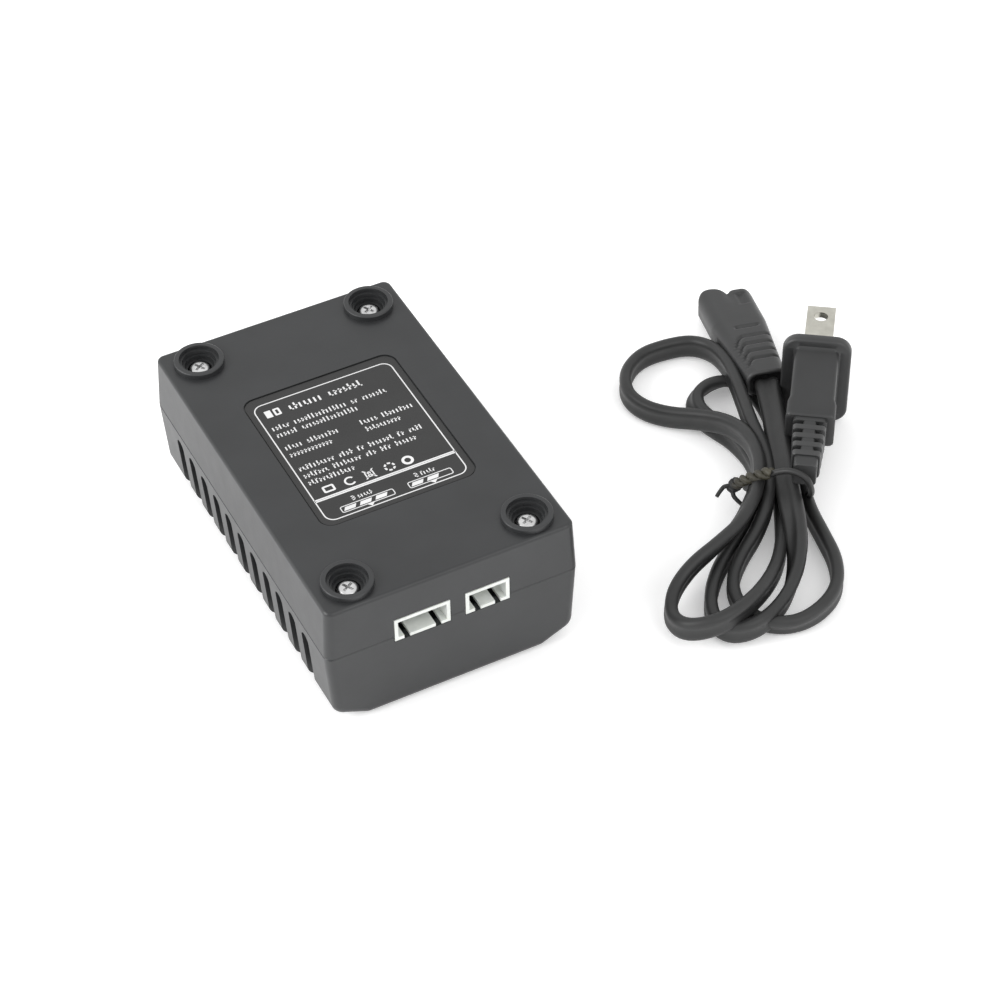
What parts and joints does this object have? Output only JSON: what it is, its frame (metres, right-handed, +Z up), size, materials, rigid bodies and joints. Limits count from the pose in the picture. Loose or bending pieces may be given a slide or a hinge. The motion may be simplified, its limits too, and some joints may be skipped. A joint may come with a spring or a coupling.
{
  "type": "balance battery charger",
  "caption": "Small flat mains charger for lithium packs: two-shell case with screw wells, side vents, label, white balance sockets and rear inlet, with its flat lead tied in a hank.",
  "frame": {"origin": "centre of the charger's outline, on the surface that it lies on", "axes": "+X across the charger towards its lead, +Y along the charger from the balance sockets to the mains inlet, +Z up out of the labelled face"},
  "size_m": [0.148, 0.1116, 0.0335],
  "materials": {
    "shell": "fine satin mould texture, black",
    "label": "printed film, satin",
    "screw_zinc": "zinc-plated steel",
    "socket_white": "natural nylon, off white",
    "tin_plate": "tin-plated brass",
    "inlet_black": "moulded black",
    "board": "glass-epoxy laminate with green solder mask",
    "ferrite": "sintered ferrite, dark grey",
    "winding": "enamelled wire under yellow tape",
    "capacitor_sleeve": "dark sleeve",
    "capacitor_yellow": "yellow box capacitor",
    "capacitor_blue": "blue dipped ceramic",
    "resistor": "beige lacquer",
    "led_lens": "diffused clear lens",
    "cable_pvc": "soft PVC sheath, dark grey",
    "lead_plastic": "moulded PVC, dark grey",
    "contact_brass": "spring brass",
    "blade_nickel": "nickel-plated brass",
    "tie_plastic": "plastic-coated wire, black"
  },
  "bodies": {
    "charger": {"ac_inlet": "inlet_black", "ac_inlet_pins": "tin_plate", "balance_socket_2s": "socket_white", "balance_socket_3s": "socket_white", "board_resistors": "resistor", "bridge_rectifier": "inlet_black", "bulk_capacitor": "capacitor_sleeve", "case_screws": "screw_zinc", "cell_led_1": "led_lens", "cell_led_2": "led_lens", "cell_led_3": "led_lens", "charge_chip_1": "inlet_black", "charge_chip_2": "inlet_black", "charge_chip_3": "inlet_black", "circuit_board": "board", "controller_chip": "inlet_black", "face_label": "label", "filter_choke": "ferrite", "fuse": "inlet_black", "interference_capacitor": "capacitor_yellow", "label_plate": "label", "label_side_shell": "shell", "led_side_shell": "shell", "optocoupler": "inlet_black", "output_capacitor_1": "capacitor_sleeve", "output_capacitor_2": "capacitor_sleeve", "output_capacitor_3": "capacitor_sleeve", "output_diode_1": "inlet_black", "output_diode_2": "inlet_black", "output_diode_3": "inlet_black", "safety_capacitor": "capacitor_blue", "socket_pins_2s": "tin_plate", "socket_pins_3s": "tin_plate", "transformer_bobbin": "inlet_black", "transformer_core": "ferrite", "transformer_winding": "winding"},
    "power_lead": {"power_lead_hank": "cable_pvc", "lead_connector": "lead_plastic", "connector_contacts": "contact_brass", "mains_plug": "lead_plastic", "plug_blades": "blade_nickel", "twist_tie": "tie_plastic"}
  },
  "joints": [
    {"name": "lead_lift", "type": "slide", "parent": "charger", "child": "power_lead", "axis": [0, 0, 1], "range_m": [0, 0.06]}
  ]
}
